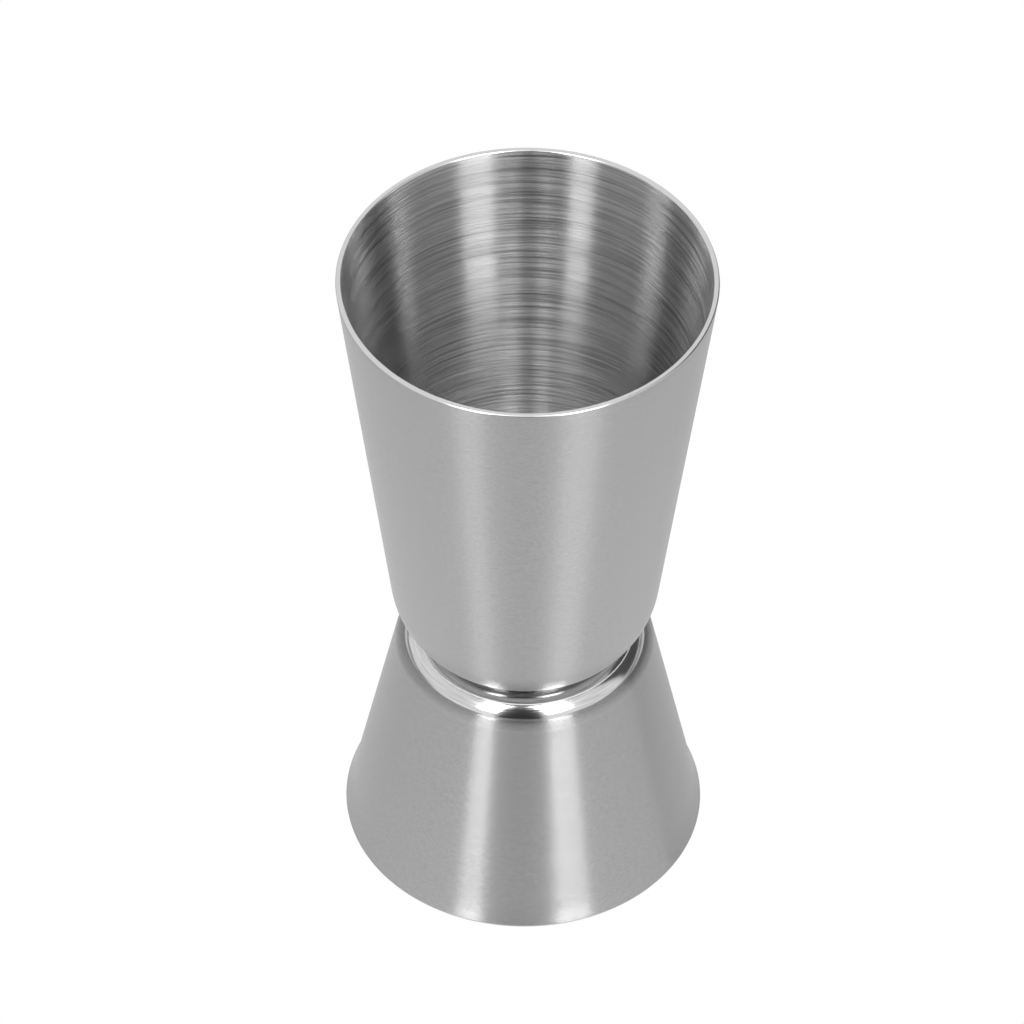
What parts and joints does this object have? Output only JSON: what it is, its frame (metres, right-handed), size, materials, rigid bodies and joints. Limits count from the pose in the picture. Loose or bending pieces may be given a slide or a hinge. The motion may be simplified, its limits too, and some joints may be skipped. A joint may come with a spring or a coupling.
{
  "type": "bar jigger",
  "caption": "Double-ended bar jigger: a tall and a short drawn steel cup spot-welded floor to floor, satin brushed outside, mirror-bright at the waist.",
  "frame": {"origin": "centre of the small cup's mouth, on the surface it stands on", "axes": "+Z along the jigger's axis, from the small cup's mouth up to the large cup's mouth; the body is round, so X and Y are free"},
  "size_m": [0.04, 0.04, 0.0799],
  "materials": {
    "stainless_steel": "304 stainless sheet, satin brushed around the axis outside, coarser turned scratches inside, polished lips and a mirror-bright waist",
    "weld_metal": "fused 304 stainless nugget, hidden between the floors"
  },
  "bodies": {
    "root": {"large_cup": "stainless_steel", "small_cup": "stainless_steel", "spot_welds": "weld_metal"}
  },
  "joints": []
}
